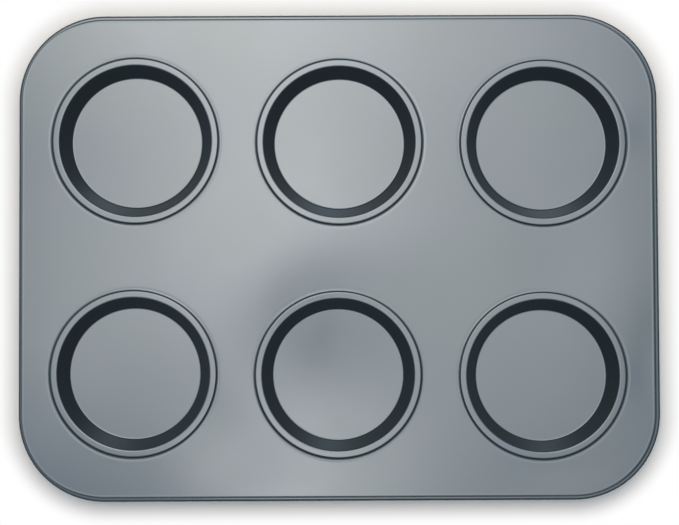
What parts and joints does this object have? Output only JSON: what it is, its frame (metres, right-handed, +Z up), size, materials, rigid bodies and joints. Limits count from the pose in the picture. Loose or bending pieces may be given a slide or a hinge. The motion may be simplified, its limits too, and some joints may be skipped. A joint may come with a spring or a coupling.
{
  "type": "muffin top pan",
  "caption": "Shallow rectangular baking pan with round, flat-floored cups for muffin tops, pressed from coated steel sheet with its edge rolled over a wire.",
  "frame": {"origin": "centre of the pan, on the surface that its cup floors stand on", "axes": "+X along the long side, +Y to the back, +Z up out of the cups"},
  "size_m": [0.394, 0.2994, 0.0146],
  "materials": {
    "coated_steel": "satin",
    "wire_steel": "satin"
  },
  "bodies": {
    "root": {"pan_sheet": "coated_steel", "rim_wire": "wire_steel"}
  },
  "joints": []
}
